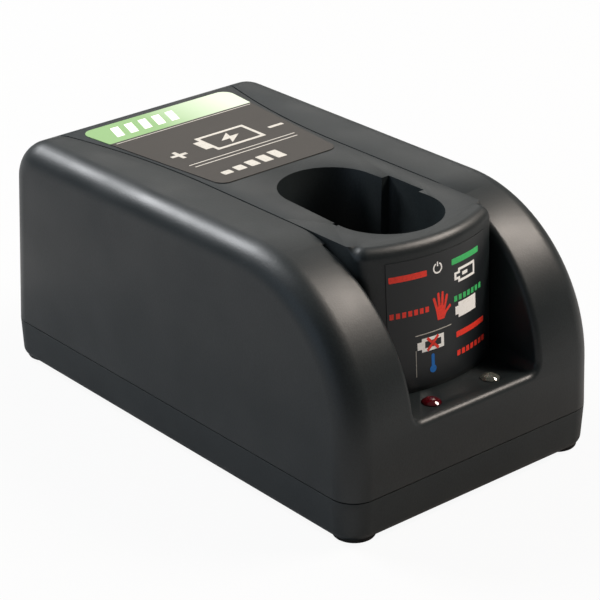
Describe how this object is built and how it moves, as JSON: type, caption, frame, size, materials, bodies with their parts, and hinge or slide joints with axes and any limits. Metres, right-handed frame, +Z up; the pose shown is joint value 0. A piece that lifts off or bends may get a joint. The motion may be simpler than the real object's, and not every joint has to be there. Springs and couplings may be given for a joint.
{
  "type": "power tool battery charger",
  "caption": "Bench battery charger with a deep stem socket in a bowed tower, indicator lamps on a ledge and pictogram labels.",
  "frame": {"origin": "middle of the plane that the four rubber feet stand on", "axes": "+Z up, -Y towards the indicator front, +Y towards the mains inlet, +X to the right from the front"},
  "size_m": [0.113, 0.19, 0.0891],
  "materials": {
    "case_plastic": "fine moulded texture",
    "socket_plastic": "fine moulded texture",
    "tray_plastic": "fine moulded texture",
    "foot_rubber": "matte",
    "screw_steel": "zinc plated",
    "board_laminate": "solder mask",
    "core_steel": "varnished laminations",
    "bobbin_plastic": "moulded",
    "winding_copper": "enamelled wire",
    "sink_aluminium": "extruded",
    "package_epoxy": "moulded",
    "capacitor_sleeve": "shrunk sleeve",
    "fuse_glass": "clear",
    "cap_nickel": "nickel plated",
    "inlet_plastic": "moulded",
    "pin_brass": "nickel flashed",
    "carrier_plastic": "moulded",
    "contact_spring": "rolled spring strip",
    "lamp_red": "tinted clear",
    "lamp_clear": "water clear",
    "label_top": "printed film",
    "label_front": "printed film"
  },
  "bodies": {
    "case": {"base_tray": "tray_plastic", "upper_housing": "case_plastic", "socket_moulding": "socket_plastic", "rubber_feet": "foot_rubber", "case_screws": "screw_steel", "main_board": "board_laminate", "board_screws": "screw_steel", "transformer_core": "core_steel", "transformer_bobbin": "bobbin_plastic", "transformer_winding": "winding_copper", "heat_sink": "sink_aluminium", "power_transistor": "package_epoxy", "input_capacitor": "capacitor_sleeve", "output_capacitor": "capacitor_sleeve", "fuse_glass": "fuse_glass", "fuse_caps": "cap_nickel", "fuse_clips": "cap_nickel", "mains_inlet": "inlet_plastic", "inlet_pins": "pin_brass", "contact_carrier": "carrier_plastic", "contact_terminals": "pin_brass", "lamp_red": "lamp_red", "lamp_clear": "lamp_clear", "lamp_legs": "cap_nickel", "lamp_board": "board_laminate", "top_label": "label_top", "front_label": "label_front"},
    "contact_negative": {"contact_negative": "contact_spring"},
    "contact_sensor": {"contact_sensor": "contact_spring"},
    "contact_positive": {"contact_positive": "contact_spring"}
  },
  "joints": [
    {"name": "contact_negative_flex", "type": "hinge", "parent": "case", "child": "contact_negative", "pos_m": [-0.009, -0.034, 0.0282], "axis": [-1, 0, 0], "range_deg": [0, 6], "stiffness_Nm_per_rad": 0.6},
    {"name": "contact_sensor_flex", "type": "hinge", "parent": "case", "child": "contact_sensor", "pos_m": [0, -0.034, 0.0282], "axis": [-1, 0, 0], "range_deg": [0, 6], "stiffness_Nm_per_rad": 0.6},
    {"name": "contact_positive_flex", "type": "hinge", "parent": "case", "child": "contact_positive", "pos_m": [0.009, -0.034, 0.0282], "axis": [-1, 0, 0], "range_deg": [0, 6], "stiffness_Nm_per_rad": 0.6}
  ]
}
